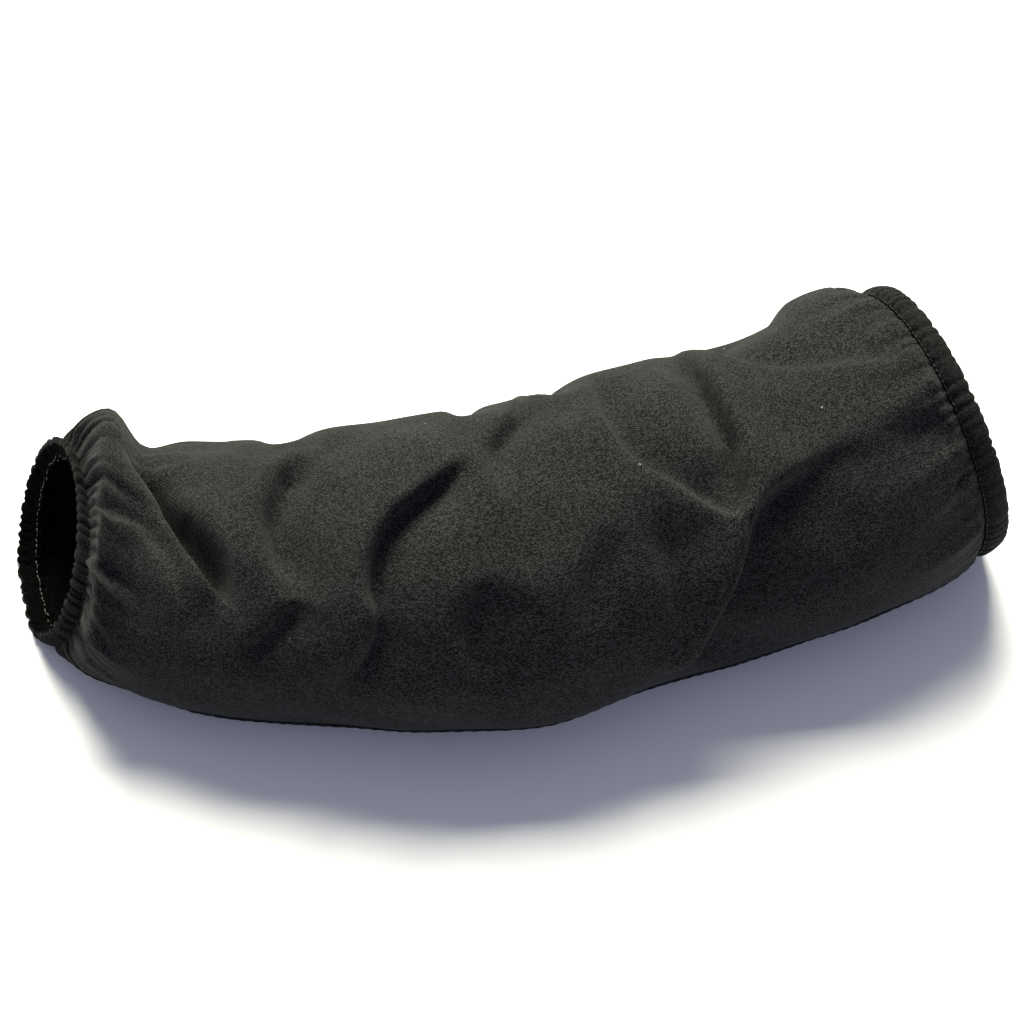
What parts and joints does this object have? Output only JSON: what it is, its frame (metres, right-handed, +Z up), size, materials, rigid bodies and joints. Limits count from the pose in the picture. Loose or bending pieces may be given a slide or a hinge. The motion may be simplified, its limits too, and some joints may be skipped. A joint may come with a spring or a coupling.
{
  "type": "cut-resistant sleeve",
  "caption": "Tubular cut-resistant work sleeve of dark twill, bent at the elbow, with gathered elastic casings at the wrist and upper arm and a felled side seam.",
  "frame": {"origin": "on the surface that the sleeve lies on, under the middle of its bounding box", "axes": "+X from the wrist opening to the upper-arm opening along the longest extent, +Y towards the inside of the elbow's bend, +Z up from the surface"},
  "size_m": [0.4797, 0.228, 0.13],
  "materials": {
    "twill": "matte dark grey twill with a fine salt-and-pepper weave",
    "casing_twill": "matte charcoal twill, gathered over elastic",
    "seam_twill": "matte dark grey twill, felled and stitched"
  },
  "bodies": {
    "root": {"sleeve_body": "twill", "wrist_casing": "casing_twill", "arm_casing": "casing_twill", "side_seam": "seam_twill"}
  },
  "joints": []
}
